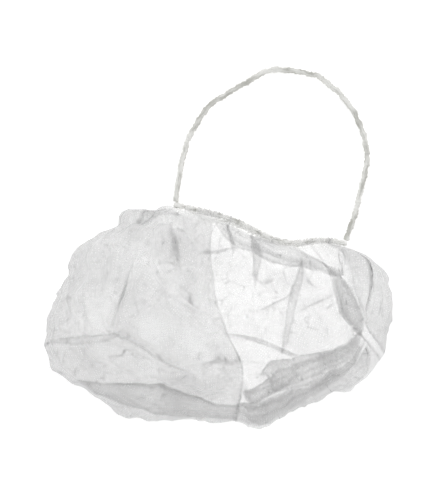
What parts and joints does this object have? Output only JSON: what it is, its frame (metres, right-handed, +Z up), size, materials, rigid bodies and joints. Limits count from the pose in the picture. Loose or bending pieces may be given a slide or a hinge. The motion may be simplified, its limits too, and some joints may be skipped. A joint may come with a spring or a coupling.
{
  "type": "beard cover",
  "caption": "Soft nonwoven beard cover lying on its underside: a full, creased pouch gathered on an elastic rim round its open mouth, with a covered elastic loop that goes over the head.",
  "frame": {"origin": "on the pouch's flat underside, near the middle of the pouch", "axes": "+Z up from the surface it lies on, +Y the way the mouth faces and the head loop lies, +X to the right seen from above"},
  "size_m": [0.26, 0.2707, 0.0755],
  "materials": {
    "nonwoven": "thin white spunbond nonwoven, half see-through, with a fine pattern of bond points",
    "covered_elastic": "off-white elastic in a crimped, slightly fuzzy nonwoven cover"
  },
  "bodies": {
    "root": {"pouch": "nonwoven", "rim_elastic": "covered_elastic", "head_loop": "covered_elastic"}
  },
  "joints": []
}
